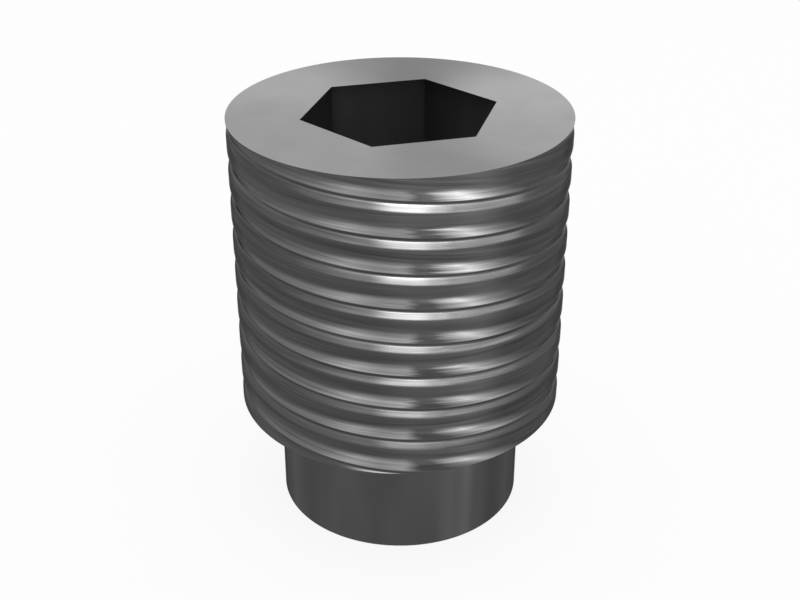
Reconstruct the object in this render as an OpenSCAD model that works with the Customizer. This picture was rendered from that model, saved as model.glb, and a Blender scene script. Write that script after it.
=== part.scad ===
// Dog point set screw with a hexagon socket, in millimetres.
// It is one turned piece: it stands on the end of its dog at z = 0, and the socket opens upwards.

/* [Threaded body] */
// Length of the threaded body, from the shoulder to the socket end
body_len = 18; // [15:0.1:60]
// Outer diameter over the thread crests
thread_d = 19.7; // [18:0.1:30]
// Distance along the axis from one groove to the next
thread_pitch = 2.07; // [1.6:0.01:3]
// Depth of the grooves below the crests
thread_depth = 0.15; // [0.1:0.05:0.8]
// Width of the flat at the bottom of a groove
root_w = 0.14; // [0.05:0.01:0.3]
// Width of the flat crest between two grooves
crest_w = 0.66; // [0.1:0.02:0.8]
// Share of the two flanks' width that the flank facing the socket end takes
upper_flank_share = 0.42; // [0.42:0.01:0.58]
// Width of the rounding where a flank meets the crest
corner_w = 0.2; // [0.05:0.01:0.2]
// Number of grooves that wind side by side
thread_starts = 2; // [1:1:3]
// Way in which the thread winds
thread_hand = "left"; // [left, right]
// Length over which the grooves run out to full diameter at each end
runout_len = 0.8; // [0.2:0.05:1]
// Distance from the socket end down to a groove where it crosses the +X side
groove_start = 0.5; // [0:0.01:2]

/* [Dog point] */
// Diameter of the plain dog
dog_d = 15; // [10:0.1:16]
// Length of the plain dog, from the shoulder to its flat end
dog_len = 7.1; // [3:0.1:15]

/* [Socket] */
// Width of the hexagon socket across its flats
socket_af = 10; // [5:0.5:12]
// Depth of the hexagon, measured on its flats
socket_depth = 9; // [6:0.5:11]
// Full angle of the drilled cone below the hexagon
drill_angle = 118; // [90:1:140]

/* [Hidden] */

$fn = 96;
end_z = dog_len + body_len;
thread_lead = thread_pitch * thread_starts;
turn_dir = thread_hand == "left" ? -1 : 1;
// Sides of the threaded body round one turn
thread_sides = 72;
// How far the dog reaches up into the body, and cuts reach past a face
overlap = 1;
// Rows of points closer than this to an end face are merged into its rim
rim_merge = 0.12;

// Rows of points across one pitch, upwards from the middle of a groove: the first flank faces the
// dog, the second one the socket end
flanks_w = thread_pitch - root_w - crest_w;
upper_flank_w = flanks_w * upper_flank_share;
lower_flank_w = flanks_w - upper_flank_w;
crest_start = root_w / 2 + lower_flank_w;
row_offsets = [
    root_w / 2,
    crest_start - corner_w,
    crest_start,
    crest_start + crest_w,
    crest_start + crest_w + corner_w,
    thread_pitch - root_w / 2
];
rows_per_pitch = len(row_offsets);
rows_per_turn = turn_dir * thread_starts * rows_per_pitch;
pitches = ceil(body_len / thread_pitch) + 2 * thread_starts + 2;
row_count = pitches * rows_per_pitch;

// Height of the lowest row at the +X side: a groove well below the body, in step with groove_start
lowest_row_z = end_z - groove_start - (pitches - thread_starts - 1) * thread_pitch;

function clamp(value, low, high) = min(max(value, low), high);

// Unclipped height of a row of points on one column
function row_z(column, row) =
    lowest_row_z
    + thread_pitch * floor(row / rows_per_pitch) + row_offsets[row % rows_per_pitch]
    + turn_dir * thread_lead * column / thread_sides;

// First and last row of a column: they lie on the rims of the two end faces
function bottom_row(column) =
    len([for (row = [0 : row_count - 1]) if (row_z(column, row) < dog_len + rim_merge) 1]) - 1;
function top_row(column) =
    len([for (row = [0 : row_count - 1]) if (row_z(column, row) < end_z - rim_merge) 1]);

// Share of the groove's depth at a height above its middle: a flat root, a straight flank,
// and a parabola that rounds the flank into the crest
function groove_share(offset) =
    let (
        on_lower = offset < crest_start + crest_w / 2,
        flank_w = on_lower ? lower_flank_w : upper_flank_w,
        below_crest = on_lower ? crest_start - offset : offset - crest_start - crest_w,
        straight = max(0, below_crest - corner_w),
        rounded = pow(clamp(below_crest, 0, corner_w), 2) / (2 * corner_w)
    )
    (straight + rounded) / (flank_w - corner_w / 2);

// Share of the full depth at a height: the grooves run out to nothing at both end faces
function runout_share(z) = clamp(min(z - dog_len, end_z - z) / runout_len, 0, 1);

function body_point(column, row, first, last) =
    let (
        z = row <= first ? dog_len : row >= last ? end_z : row_z(column, row),
        groove = groove_share(row_offsets[row % rows_per_pitch]),
        r = thread_d / 2 - thread_depth * groove * runout_share(z),
        angle = 360 * column / thread_sides
    )
    [r * cos(angle), r * sin(angle), z];

// Barrel with rounded thread ridges: columns of points whose rows follow the helix
module threaded_body() {
    first = [for (column = [0 : thread_sides - 1]) bottom_row(column)];
    last = [for (column = [0 : thread_sides - 1]) top_row(column)];
    points = [
        for (column = [0 : thread_sides - 1], row = [0 : row_count - 1])
            body_point(column, row, first[column], last[column])
    ];
    // Index of a point: past the last column the rows carry on one turn further along the helix
    function index(column, row) =
        let (
            wraps = column == thread_sides,
            col = wraps ? 0 : column,
            turned = wraps ? row + rows_per_turn : row
        )
        col * row_count + clamp(turned, first[col], last[col]);
    side_faces = [
        for (column = [0 : thread_sides - 1], row = [0 : row_count - 1])
            let (
                a = index(column, row),
                b = index(column + 1, row),
                c = index(column + 1, row + 1),
                d = index(column, row + 1)
            )
            each [
                if (a != b && b != c && a != c) [a, c, b],
                if (a != c && c != d && a != d) [a, d, c]
            ]
    ];
    top_face = [for (column = [thread_sides - 1 : -1 : 0]) column * row_count + last[column]];
    shoulder = [for (column = [0 : thread_sides - 1]) column * row_count + first[column]];
    polyhedron(points, concat(side_faces, [top_face, shoulder]));
}

module dog_point() {
    cylinder(d = dog_d, h = dog_len + overlap);
}

// Broached hexagon with corners on the X axis, and the drilled hole's cone under it
module hex_socket() {
    socket_floor = end_z - socket_depth;
    cone_h = socket_af / 2 / tan(drill_angle / 2);
    translate([0, 0, socket_floor])
        cylinder(d = socket_af / cos(30), h = socket_depth + overlap, $fn = 6);
    translate([0, 0, socket_floor - cone_h])
        cylinder(d1 = 0, d2 = socket_af, h = cone_h);
}

module set_screw() {
    color("dimgray")
        difference() {
            union() {
                threaded_body();
                dog_point();
            }
            hex_socket();
        }
}

set_screw();
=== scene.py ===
import math

import bpy
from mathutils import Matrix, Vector


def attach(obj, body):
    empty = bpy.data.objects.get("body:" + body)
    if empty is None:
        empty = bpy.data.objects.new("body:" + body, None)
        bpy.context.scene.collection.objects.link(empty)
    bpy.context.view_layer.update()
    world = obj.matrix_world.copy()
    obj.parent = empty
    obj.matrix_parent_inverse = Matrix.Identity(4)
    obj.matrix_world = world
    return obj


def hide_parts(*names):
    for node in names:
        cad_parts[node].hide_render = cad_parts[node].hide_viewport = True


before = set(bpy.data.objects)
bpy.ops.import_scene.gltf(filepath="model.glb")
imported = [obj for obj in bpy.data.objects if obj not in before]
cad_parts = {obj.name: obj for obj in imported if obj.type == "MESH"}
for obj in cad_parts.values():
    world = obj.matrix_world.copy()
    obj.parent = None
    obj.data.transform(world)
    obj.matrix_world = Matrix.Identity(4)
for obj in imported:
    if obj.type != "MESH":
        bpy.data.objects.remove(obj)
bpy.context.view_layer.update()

MM = 0.001

# Sizes of the screw, the same as in the part's source
THREAD_R = 9.85 * MM
BODY_LEN = 18.0 * MM
PITCH = 2.07 * MM
THREAD_DEPTH = 0.15 * MM
ROOT_W = 0.14 * MM
CREST_W = 0.66 * MM
UPPER_FLANK_SHARE = 0.42
CORNER_W = 0.2 * MM
STARTS = 2
TURN_DIR = -1
RUNOUT_LEN = 0.8 * MM
GROOVE_START = 0.5 * MM
DOG_R = 7.5 * MM
DOG_LEN = 7.1 * MM
SOCKET_AF = 10.0 * MM
SOCKET_DEPTH = 9.0 * MM
DRILL_ANGLE = math.radians(118)

END_Z = DOG_LEN + BODY_LEN
SOCKET_FLOOR = END_Z - SOCKET_DEPTH
LEAD = PITCH * STARTS
FLANKS_W = PITCH - ROOT_W - CREST_W
UPPER_FLANK_W = FLANKS_W * UPPER_FLANK_SHARE
LOWER_FLANK_W = FLANKS_W - UPPER_FLANK_W

# Fineness of the mesh: columns round one turn, and rows across one pitch
COLUMNS = 240
ROWS_PER_PITCH = 32
# Rounding where a flank meets the flat root, so that the edge catches light as a real one
ROOT_CORNER_W = 0.06 * MM
# Rows closer than this to an end face are merged into its rim
RIM_MERGE = 0.02 * MM
# How far the drilled cone's edge stays inside the flats of the hexagon
DRILL_GAP = 0.02 * MM
# Faces that meet at more than this angle keep a sharp edge between them
SHARP_ANGLE = math.radians(28)

# The rows of a column reach past both end faces. The lowest one is a groove well below the body.
PITCHES = math.ceil(BODY_LEN / PITCH) + 2 * STARTS + 2
ROW_COUNT = PITCHES * ROWS_PER_PITCH
LOWEST_ROW_Z = END_Z - GROOVE_START - (PITCHES - STARTS - 1) * PITCH

# Places of the material slots of the screw's mesh
THREAD, END_FACE, DOG, SOCKET = range(4)

# Share of a turn at which the thread's painted highlights on the left end and those on the right begin
PATCHES_MIDDLE = 0.215
# Depth over which the socket's walls are painted lighter, against the real shade deep inside, and height
# over which they take on the cone's tone
SOCKET_FADE = 5 * MM
CONE_FADE = 0.6 * MM

# Camera: its azimuth from -Y, its pitch downwards, and its place from the axis and the socket end
CAMERA_AZIMUTH = math.radians(-15)
CAMERA_PITCH = math.radians(28.403)
CAMERA_AWAY = 6.8782 * THREAD_R
CAMERA_ABOVE_END = 2.4832 * THREAD_R
SENSOR_W = 36
IMAGE_W = 800
FOCAL_PX = 1259.79

FLOOR_SIZE = 3.0
# Share of white glow in the floor as it is seen. The rest is paint, which shows the screw's shadow.
GLOW_SHARE = 0.88
# Strength of the world as a light. It is seen at a strength of 1.
WORLD_LIGHT = 0.7


def row_offset(row):
    """Height of a row above the middle of the groove below it."""
    return PITCH * (row % ROWS_PER_PITCH) / ROWS_PER_PITCH


def row_z(column, row):
    """Height of a row of points on one column, before the end faces clip it."""
    return LOWEST_ROW_Z + PITCH * row / ROWS_PER_PITCH + TURN_DIR * LEAD * column / COLUMNS


def rounded_start(distance, width):
    """A distance that sets off level and has its full slope after a width."""
    return distance - width / 2 if distance > width else max(0, distance) ** 2 / (2 * width)


def groove_share(offset):
    """Share of the groove's depth at a height above its middle, with its corners rounded."""
    on_lower = offset < ROOT_W / 2 + LOWER_FLANK_W + CREST_W / 2
    flank_w = LOWER_FLANK_W if on_lower else UPPER_FLANK_W
    from_groove = offset if on_lower else PITCH - offset
    below_crest = rounded_start(ROOT_W / 2 + flank_w - from_groove, CORNER_W)
    past_root = rounded_start(ROOT_W / 2 + ROOT_CORNER_W / 2 - from_groove, ROOT_CORNER_W)
    return (below_crest - past_root) / (flank_w - CORNER_W / 2)


def thread_r(row, z):
    """Radius of the threaded body on a row: the grooves run out at both end faces."""
    runout = min(1, max(0, min(z - DOG_LEN, END_Z - z) / RUNOUT_LEN))
    return THREAD_R - THREAD_DEPTH * groove_share(row_offset(row)) * runout


class Mesh:
    """Points and faces of one piece, with a material slot for each face."""

    def __init__(self):
        self.points = []
        self.faces = []
        self.slots = []

    def point(self, radius, angle, z):
        self.points.append((radius * math.cos(angle), radius * math.sin(angle), z))
        return len(self.points) - 1

    def face(self, corners, slot):
        distinct = [c for n, c in enumerate(corners) if c != corners[n - 1]]
        if len(distinct) > 2:
            self.faces.append(distinct)
            self.slots.append(slot)

    def ring(self, radius_at, z):
        """One point per column at a height, with a radius worked out from its angle."""
        angles = [2 * math.pi * column / COLUMNS for column in range(COLUMNS)]
        return [self.point(radius_at(angle), angle, z) for angle in angles]

    def band(self, upper, lower, slot):
        """Faces between two rings, facing outwards where the upper one lies above."""
        for column in range(COLUMNS):
            after = (column + 1) % COLUMNS
            self.face([lower[column], lower[after], upper[after], upper[column]], slot)


def add_thread(mesh):
    """Threaded barrel: columns of points whose rows follow the helix. Gives its top and bottom rims."""
    index = []
    for column in range(COLUMNS):
        angle = 2 * math.pi * column / COLUMNS
        heights = [row_z(column, row) for row in range(ROW_COUNT)]
        first = sum(z < DOG_LEN + RIM_MERGE for z in heights) - 1
        last = sum(z < END_Z - RIM_MERGE for z in heights)
        shoulder = mesh.point(THREAD_R, angle, DOG_LEN)
        inner = [
            mesh.point(thread_r(row, heights[row]), angle, heights[row])
            for row in range(first + 1, last)
        ]
        rim = mesh.point(THREAD_R, angle, END_Z)
        index.append([shoulder] * (first + 1) + inner + [rim] * (ROW_COUNT - last))

    def at(column, row):
        if column == COLUMNS:
            column = 0
            row = row + TURN_DIR * STARTS * ROWS_PER_PITCH
        return index[column][min(max(row, 0), ROW_COUNT - 1)]

    for column in range(COLUMNS):
        after = column + 1
        for row in range(ROW_COUNT - 1):
            corners = [at(column, row), at(after, row), at(after, row + 1), at(column, row + 1)]
            mesh.face(corners, THREAD)
    return [column[-1] for column in index], [column[0] for column in index]


def hexagon_r(angle):
    """Radius of the hexagon in a direction, with corners at 0, 60, 120 degrees and so on."""
    from_flat = angle % math.radians(60) - math.radians(30)
    return SOCKET_AF / 2 / math.cos(from_flat)


def build_screw():
    mesh = Mesh()
    rim, shoulder = add_thread(mesh)

    mouth = mesh.ring(hexagon_r, END_Z)
    foot = mesh.ring(hexagon_r, SOCKET_FLOOR)
    drill_r = SOCKET_AF / 2 - DRILL_GAP
    drill = mesh.ring(lambda angle: drill_r, SOCKET_FLOOR)
    tip = mesh.point(0, 0, SOCKET_FLOOR - drill_r / math.tan(DRILL_ANGLE / 2))
    mesh.band(mouth, rim, END_FACE)
    mesh.band(foot, mouth, SOCKET)
    mesh.band(drill, foot, SOCKET)
    mesh.band([tip] * COLUMNS, drill, SOCKET)

    root = mesh.ring(lambda angle: DOG_R, DOG_LEN)
    end = mesh.ring(lambda angle: DOG_R, 0)
    centre = mesh.point(0, 0, 0)
    mesh.band(shoulder, root, DOG)
    mesh.band(root, end, DOG)
    mesh.band(end, [centre] * COLUMNS, DOG)

    data = bpy.data.meshes.new("set_screw_steel")
    data.from_pydata(mesh.points, [], mesh.faces)
    data.polygons.foreach_set("material_index", mesh.slots)
    data.polygons.foreach_set("use_smooth", [True] * len(mesh.faces))
    data.set_sharp_from_angle(angle=SHARP_ANGLE)
    data.validate(verbose=True)
    screw = bpy.data.objects.new("set_screw_steel", data)
    bpy.context.scene.collection.objects.link(screw)
    return screw


class Material:
    """A metal, with short forms for adding nodes to it."""

    def __init__(self, name, roughness):
        self.material = bpy.data.materials.new(name)
        self.material.use_nodes = True
        self.tree = self.material.node_tree
        self.shader = self.tree.nodes["Principled BSDF"]
        self.shader.inputs["Metallic"].default_value = 1
        self.shader.inputs["Roughness"].default_value = roughness

    def grey(self, level):
        """Gives the metal a grey base colour."""
        self.set(self.shader.inputs["Base Color"], level)

    def dull_edges(self, lift=0.0, shiny=0.0):
        """Keeps the metal as dark seen edge-on as it is face-on, or lighter there by a lift.

        Where the shiny share is 1, it grows bright edge-on, as a metal does of itself.
        """
        facing = self.node("ShaderNodeLayerWeight", Blend=0.5).outputs["Facing"]
        stops = [(0.5, 0.57), (0.67, 0.52), (0.82, 0.28), (0.9, 0.0)]
        tint = self.ramp(facing, [(place, level + lift) for place, level in stops], "LINEAR")
        self.set(self.shader.inputs["Specular Tint"], self.mix(tint, 1.0, shiny))

    def node(self, kind, **inputs):
        made = self.tree.nodes.new(kind)
        for name, value in inputs.items():
            self.set(made.inputs[name.replace("_", " ")], value)
        return made

    def set(self, socket, value):
        if isinstance(value, bpy.types.NodeSocket):
            self.tree.links.new(value, socket)
        else:
            socket.default_value = value

    def math(self, operation, *values):
        made = self.tree.nodes.new("ShaderNodeMath")
        made.operation = operation
        for socket, value in zip(made.inputs, values):
            self.set(socket, value)
        return made.outputs[0]

    def times(self, value, factor):
        return self.math("MULTIPLY", value, factor)

    def times_plus(self, value, factor, addend):
        """A value times a factor, plus another value."""
        return self.math("MULTIPLY_ADD", value, factor, addend)

    def position(self):
        """The point's x, y and z in the screw's own frame."""
        coordinates = self.node("ShaderNodeTexCoord").outputs["Object"]
        return self.node("ShaderNodeSeparateXYZ", Vector=coordinates).outputs

    def turn(self, offset=0.0):
        """Share of one turn round the axis, from -X anticlockwise. The offset is in radians."""
        x, y, _ = self.position()
        angle = self.math("ADD", self.math("ARCTAN2", y, x), offset)
        return self.spread(angle, -math.pi, math.pi, 0.0, 1.0)

    def noise(self, x, y, z, detail, roughness):
        """Noise from 0 to 1 at a point given by three sockets."""
        vector = self.node("ShaderNodeCombineXYZ", X=x, Y=y, Z=z).outputs[0]
        made = self.node("ShaderNodeTexNoise", Vector=vector, Scale=1.0, Detail=detail, Roughness=roughness)
        return made.outputs[0]

    def axial_noise(self, across, along, detail, roughness=0.5):
        """Noise with so many waves per millimetre across the screw's axis, and along it."""
        x, y, z = self.position()
        scaled = [self.times(x, across / MM), self.times(y, across / MM), self.times(z, along / MM)]
        return self.noise(*scaled, detail, roughness)

    def ramp(self, share, stops, interpolation="EASE"):
        """Grey levels at shares from 0 to 1."""
        made = self.node("ShaderNodeValToRGB", Fac=share)
        made.color_ramp.interpolation = interpolation
        elements = made.color_ramp.elements
        while len(elements) < len(stops):
            elements.new(1.0)
        for element, (place, level) in zip(elements, stops):
            element.position = place
            element.color = (level, level, level, 1)
        return made.outputs[0]

    def mix(self, without, with_it, share):
        """From one value to another as a share goes from 0 to 1."""
        made = self.tree.nodes.new("ShaderNodeMix")
        self.set(made.inputs["Factor"], share)
        self.set(made.inputs["A"], without)
        self.set(made.inputs["B"], with_it)
        return made.outputs["Result"]

    def spread(self, value, low, high, to_low, to_high):
        """A value moved from one range to another, and held inside it."""
        made = self.node("ShaderNodeMapRange", Value=value, From_Min=low, From_Max=high)
        self.set(made.inputs["To Min"], to_low)
        self.set(made.inputs["To Max"], to_high)
        return made.outputs[0]

    def vary(self, noise, by):
        """A factor near 1 that a noise moves up and down by a share."""
        return self.spread(noise, 0.3, 0.7, 1 - by, 1 + by)


class OnThread:
    """Sockets of a material that say where a point lies on the threaded body."""

    def __init__(self, steel):
        x, y, self.z = steel.position()
        self.angle = steel.math("ARCTAN2", y, x)
        # Height with the thread's climb taken out of it
        self.climb = steel.times_plus(self.angle, -TURN_DIR * LEAD / (2 * math.pi), self.z)
        # Share of the pitch, upwards from the middle of a groove
        pitches = steel.times_plus(self.climb, 1 / PITCH, (GROOVE_START - END_Z) / PITCH)
        self.phase = steel.math("FRACT", pitches)
        # Share of the way up from the shoulder to the socket end
        self.height = steel.spread(self.z, DOG_LEN, END_Z, 0.0, 1.0)


def streaks(steel, where, across, along, drift):
    """Noise drawn out along the thread, without a seam.

    It has about so many waves across one lead, along one turn, and in a millimetre of height.
    """
    round_lead = steel.times(where.climb, 2 * math.pi / LEAD)
    lead_r = across / (2 * math.pi)
    turn_r = along / (2 * math.pi)
    beside = steel.times(steel.math("COSINE", where.angle), turn_r)
    before = steel.times(steel.math("SINE", where.angle), turn_r)
    x = steel.times_plus(steel.math("COSINE", round_lead), lead_r, beside)
    y = steel.times_plus(steel.math("SINE", round_lead), lead_r, before)
    return steel.noise(x, y, steel.times(where.z, drift / MM), detail=3.0, roughness=0.6)


# Dark steel on the crests, with painted light round the turn: lighter in front
def crest_painted_light(steel, turn):
    return steel.ramp(turn, [
        (0.18, 0.066), (0.22, 0.088), (0.245, 0.086), (0.275, 0.105), (0.315, 0.06), (0.4, 0.064),
    ])


def painted_highlight_level(steel, where, turn):
    """Level of the flanks that face the socket end: painted highlights in front, brightest next to the
    groove.
    """
    highlight_share = steel.ramp(turn, [
        (0.03, 0.0), (0.13, 0.06), (0.178, 0.3), (0.205, 0.75), (0.225, 0.9), (0.24, 0.65),
        (0.254, 0.18), (0.285, 0.06), (0.4, 0.0),
    ])
    next_to_groove = steel.ramp(
        where.phase, [(0.88, 0.92), (0.92, 0.86), (0.938, 1.5), (0.955, 1.0)], "LINEAR")
    # The painted highlight is brighter towards the socket end
    bright = steel.times(steel.spread(where.height, 0.0, 1.0, 0.19, 0.45), next_to_groove)
    # Where the last groove meets the shoulder, a painted highlight lies on the flank in front
    end_highlight = steel.ramp(steel.turn(), [(0.15, 0.084), (0.2, 0.6), (0.24, 0.6), (0.26, 0.084)])
    near_shoulder = steel.spread(where.z, DOG_LEN + 0.1 * MM, DOG_LEN + 0.4 * MM, 1.0, 0.0)
    return steel.mix(steel.mix(0.072, bright, highlight_share), end_highlight, near_shoulder)


def painted_glint_level(steel, where, turn, on_right):
    """Level of the flanks that face the dog: painted highlights round one turn, in two groups in front."""
    # Both groups grow shorter towards the crest
    from_middle = steel.times_plus(turn, 2 * math.pi, -2 * math.pi * PATCHES_MIDDLE)
    to_right = steel.math("SINE", from_middle)
    shorter = steel.spread(where.phase, 0.1, 0.45, -0.01, 0.05)
    place = steel.times_plus(to_right, shorter, turn)
    # Nearer to the shoulder the right group lies further round, most of all next to the groove
    near_groove = steel.spread(where.phase, 0.12, 0.45, 1.0, 0.6)
    lean = steel.times(steel.math("MAXIMUM", to_right, 0.0), near_groove)
    lean = steel.times(lean, steel.spread(where.height, 0.0, 1.0, -0.075, 0.0))
    place = steel.math("ADD", place, lean)
    painted_glints = steel.ramp(steel.math("FRACT", place), [
        (0.0, 0.16), (0.075, 0.12), (0.13, 0.17), (0.163, 0.34), (0.19, 0.26), (0.214, 0.31),
        (0.222, 0.1), (0.234, 0.1), (0.262, 0.66), (0.275, 0.35), (0.29, 0.17), (0.318, 0.062),
        (0.41, 0.07), (0.45, 0.25), (0.55, 0.3), (0.65, 0.1), (0.85, 0.28), (1.0, 0.16),
    ], "LINEAR")
    # The left group fades towards the socket end and the crest, the right one towards the shoulder
    left = steel.spread(where.height, 0.0, 1.0, 1.2, 0.85)
    left = steel.times(left, steel.spread(where.phase, 0.22, 0.33, 1.0, 0.82))
    right = steel.spread(where.height, 0.3, 1.0, 0.68, 1.4)
    near_crest = steel.spread(where.phase, 0.22, 0.34, 0.0, 1.0)
    near_crest = steel.times(near_crest, steel.spread(where.height, 0.0, 1.0, 0.9, 0.0))
    right = steel.times_plus(right, near_crest, right)
    painted_glints = steel.times(painted_glints, steel.mix(left, right, on_right))
    # The painted highlights are weaker on the lowest flank
    return steel.times(painted_glints, steel.spread(where.height, 0.02, 0.1, 0.7, 1.0))


def edge_shine(steel, where, on_right):
    """Share of the shine edge-on that is left: in the grooves, and low on the flanks that face the dog."""
    in_groove = steel.ramp(where.phase, [(0.03, 0.17), (0.08, 0.0), (0.88, 0.0), (0.93, 0.17)], "LINEAR")
    facing_dog = steel.ramp(where.phase, [(0.03, 1.0), (0.22, 1.0), (0.32, 0.0)], "LINEAR")
    low = steel.times(facing_dog, steel.spread(where.height, 0.0, 0.7, 1.0, 0.0))
    return steel.math("MAXIMUM", in_groove, steel.times(low, steel.mix(0.42, 0.22, on_right)))


def thread_steel():
    steel = Material("thread_steel", roughness=0.24)
    where = OnThread(steel)
    fine = streaks(steel, where, across=26, along=10, drift=0.3)
    broad = streaks(steel, where, across=10, along=7, drift=0.15)
    # The ends of patches are ragged, more so near the socket end
    ragged = steel.times(
        steel.math("SUBTRACT", fine, 0.5), steel.spread(where.height, 0.0, 1.0, 0.12, 0.3))
    turn = steel.turn(ragged)
    on_right = steel.ramp(turn, [(PATCHES_MIDDLE, 0.0), (0.23, 1.0), (0.4, 1.0), (0.5, 0.0)])

    facing_socket = steel.ramp(where.phase, [(0.74, 0.0), (0.80, 1.0), (0.95, 1.0), (0.975, 0.0)])
    level = steel.mix(crest_painted_light(steel, turn), painted_highlight_level(steel, where, turn), facing_socket)
    # The painted highlights on the flank that faces the dog grow narrower towards the socket end
    past_root = steel.ramp(where.phase, [(0.035, 0.0), (0.07, 1.0)])
    below_crest = steel.ramp(
        steel.times_plus(where.height, 0.08, where.phase), [(0.32, 1.0), (0.5, 0.0)])
    facing_dog = steel.times(past_root, below_crest)
    level = steel.mix(level, painted_glint_level(steel, where, turn, on_right), facing_dog)
    # A painted shade line in each groove: the middle lies where the share passes from 1 to 0
    in_groove = steel.ramp(
        where.phase, [(0.02, 1.0), (0.05, 0.0), (0.975, 0.0), (0.995, 1.0)], "LINEAR")
    # Towards the sides the painted line is lighter, to make up for the real shade that the ridges cast on
    # it there
    painted_groove_shade = steel.ramp(
        steel.turn(), [(0.0, 0.12), (0.08, 0.05), (0.34, 0.05), (0.42, 0.12)], "LINEAR")
    level = steel.mix(level, painted_groove_shade, in_groove)
    steel.grey(steel.times(level, steel.times(steel.vary(broad, 0.3), steel.vary(fine, 0.18))))

    bump = steel.node("ShaderNodeBump", Height=fine, Strength=0.2, Distance=0.02 * MM)
    steel.set(steel.shader.inputs["Normal"], bump.outputs[0])
    steel.dull_edges(shiny=edge_shine(steel, where, on_right))
    return steel.material


def end_face_steel():
    """Turned face, with a painted sheen in broad wedges round the axis."""
    steel = Material("end_face_steel", roughness=0.45)
    painted_sheen = steel.ramp(steel.turn(), [
        (0.15, 0.29), (0.25, 0.225), (0.36, 0.315), (0.54, 0.375), (0.69, 0.165), (0.86, 0.345),
        (1.0, 0.29),
    ])
    smudges = steel.axial_noise(across=0.35, along=0.0, detail=3.0, roughness=0.55)
    steel.grey(steel.times(painted_sheen, steel.spread(smudges, 0.25, 0.75, 0.96, 1.1)))
    return steel.material


def dog_steel():
    """Plain turned dog, with a painted sheen round the turn, brightest in one upright band, and soft
    upright bands of random tone.
    """
    steel = Material("dog_steel", roughness=0.3)
    painted_sheen = steel.ramp(steel.turn(), [
        (0.0, 0.066), (0.25, 0.07), (0.28, 0.084), (0.297, 0.112), (0.313, 0.078), (0.345, 0.05),
        (0.42, 0.062), (0.56, 0.075), (1.0, 0.066),
    ])
    bands = steel.axial_noise(across=0.5, along=0.08, detail=1.0)
    steel.grey(steel.times(painted_sheen, steel.vary(bands, 0.12)))
    steel.dull_edges(lift=0.06)
    return steel.material


def socket_steel():
    """Painted darker at the mouth and lighter deep in the socket, against the real shade in there, so that
    its walls show an even tone.
    """
    steel = Material("socket_steel", roughness=0.65)
    z = steel.position()["Z"]
    # Painted lighter with depth, against the real shade inside
    depth = steel.spread(z, END_Z, END_Z - SOCKET_FADE, 0.026, 0.2)
    # Painted light and shade on each wall: corners at 0, 1/6, 2/6 of a turn and so on
    painted_wall_shade = steel.ramp(steel.turn(), [
        (0.0, 0.53), (0.5, 1.0), (0.662, 0.47), (0.672, 0.68), (0.828, 0.86), (0.838, 0.53),
    ], "LINEAR")
    # The drilled cone below the walls has one tone all round
    on_wall = steel.spread(z, SOCKET_FLOOR, SOCKET_FLOOR + CONE_FADE, 0.0, 1.0)
    level = steel.times(depth, steel.mix(0.75, painted_wall_shade, on_wall))
    bands = steel.axial_noise(across=1.2, along=0.15, detail=2.0)
    steel.grey(steel.times(level, steel.vary(bands, 0.08)))
    return steel.material


def add_camera():
    data = bpy.data.cameras.new("camera")
    data.sensor_width = SENSOR_W
    data.lens = SENSOR_W * FOCAL_PX / IMAGE_W
    data.clip_start = 1 * MM
    camera = bpy.data.objects.new("camera", data)
    camera.location = (
        math.sin(CAMERA_AZIMUTH) * CAMERA_AWAY,
        -math.cos(CAMERA_AZIMUTH) * CAMERA_AWAY,
        END_Z + CAMERA_ABOVE_END,
    )
    camera.rotation_euler = (math.pi / 2 - CAMERA_PITCH, 0, CAMERA_AZIMUTH)
    bpy.context.scene.collection.objects.link(camera)
    bpy.context.scene.camera = camera


def add_softbox(name, azimuth, elevation, width, height, radiance, distance=0.5):
    """A soft lamp that faces the screw. Azimuth is from the camera's side, positive to its right."""
    data = bpy.data.lights.new(name, "AREA")
    data.shape = "RECTANGLE"
    data.size = width
    data.size_y = height
    data.energy = radiance * math.pi * width * height
    lamp = bpy.data.objects.new(name, data)
    turn = CAMERA_AZIMUTH - math.pi / 2 + math.radians(azimuth)
    rise = math.radians(elevation)
    level = math.cos(rise)
    direction = Vector((math.cos(turn) * level, math.sin(turn) * level, math.sin(rise)))
    lamp.location = Vector((0, 0, END_Z / 2)) + direction * distance
    lamp.rotation_euler = direction.to_track_quat("Z", "Y").to_euler()
    lamp.visible_camera = False
    bpy.context.scene.collection.objects.link(lamp)


def add_lamps():
    add_softbox("key", azimuth=7, elevation=11, width=0.36, height=0.15, radiance=1.2)
    add_softbox("key_core", azimuth=6, elevation=11, width=0.2, height=0.15, radiance=1.2, distance=0.45)
    add_softbox("fill_right", azimuth=56, elevation=7, width=0.5, height=0.13, radiance=2.7)
    add_softbox("fill_left", azimuth=-40, elevation=7, width=0.4, height=0.13, radiance=0.5)
    add_softbox("overhead", azimuth=0, elevation=90, width=0.4, height=0.4, radiance=0.9)


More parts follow.
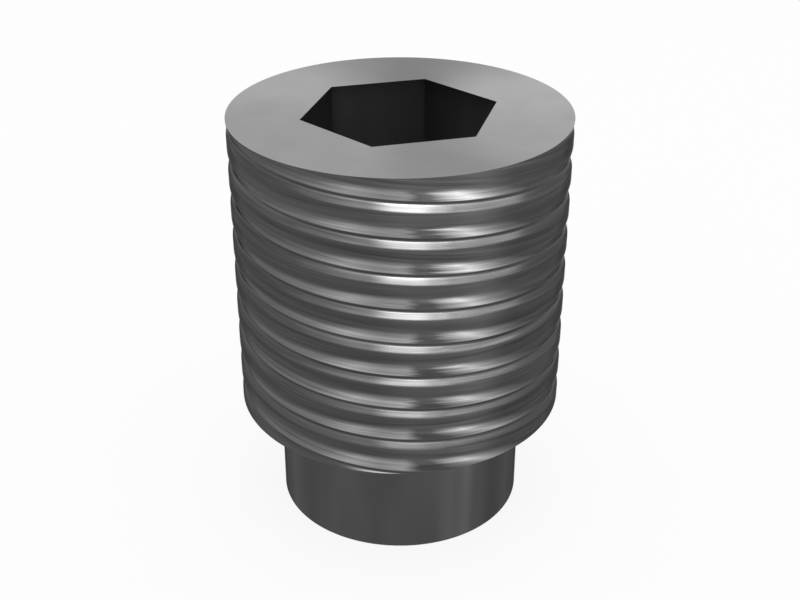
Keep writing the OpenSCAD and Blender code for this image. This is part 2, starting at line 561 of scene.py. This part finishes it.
def seen_as_background(tree):
    """1 for a ray from the camera, also by way of metal or glass, and 0 for rays that light things."""
    sight = tree.nodes.new("ShaderNodeLightPath")
    seen = sight.outputs["Is Camera Ray"]
    for ray in ("Is Glossy Ray", "Is Transmission Ray"):
        either = tree.nodes.new("ShaderNodeMath")
        either.operation = "MAXIMUM"
        tree.links.new(seen, either.inputs[0])
        tree.links.new(sight.outputs[ray], either.inputs[1])
        seen = either.outputs[0]
    return seen


def add_floor():
    bpy.ops.mesh.primitive_plane_add(size=FLOOR_SIZE)
    floor = bpy.context.object
    floor.name = "floor"
    material = bpy.data.materials.new("white_floor")
    material.use_nodes = True
    tree = material.node_tree
    paint = tree.nodes["Principled BSDF"]
    paint.inputs["Base Color"].default_value = (1, 1, 1, 1)
    paint.inputs["Roughness"].default_value = 0.9
    paint.inputs["Specular IOR Level"].default_value = 0
    glow = tree.nodes.new("ShaderNodeEmission")
    glow.inputs["Strength"].default_value = 1
    share = tree.nodes.new("ShaderNodeMath")
    share.operation = "MULTIPLY"
    tree.links.new(seen_as_background(tree), share.inputs[0])
    share.inputs[1].default_value = GLOW_SHARE
    mix = tree.nodes.new("ShaderNodeMixShader")
    tree.links.new(share.outputs[0], mix.inputs[0])
    tree.links.new(paint.outputs[0], mix.inputs[1])
    tree.links.new(glow.outputs[0], mix.inputs[2])
    tree.links.new(mix.outputs[0], tree.nodes["Material Output"].inputs["Surface"])
    floor.data.materials.append(material)


def add_world():
    world = bpy.data.worlds.new("studio")
    world.use_nodes = True
    tree = world.node_tree
    background = tree.nodes["Background"]
    background.inputs["Color"].default_value = (1, 1, 1, 1)
    strength = tree.nodes.new("ShaderNodeMapRange")
    tree.links.new(seen_as_background(tree), strength.inputs["Value"])
    strength.inputs["To Min"].default_value = WORLD_LIGHT
    tree.links.new(strength.outputs[0], background.inputs["Strength"])
    bpy.context.scene.world = world


def main():
    bpy.context.scene.view_settings.view_transform = "Standard"
    add_camera()
    add_world()
    add_floor()
    add_lamps()
    screw = build_screw()
    for steel in (thread_steel(), end_face_steel(), dog_steel(), socket_steel()):
        screw.data.materials.append(steel)
    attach(screw, "root")
    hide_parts("set_screw")


main()
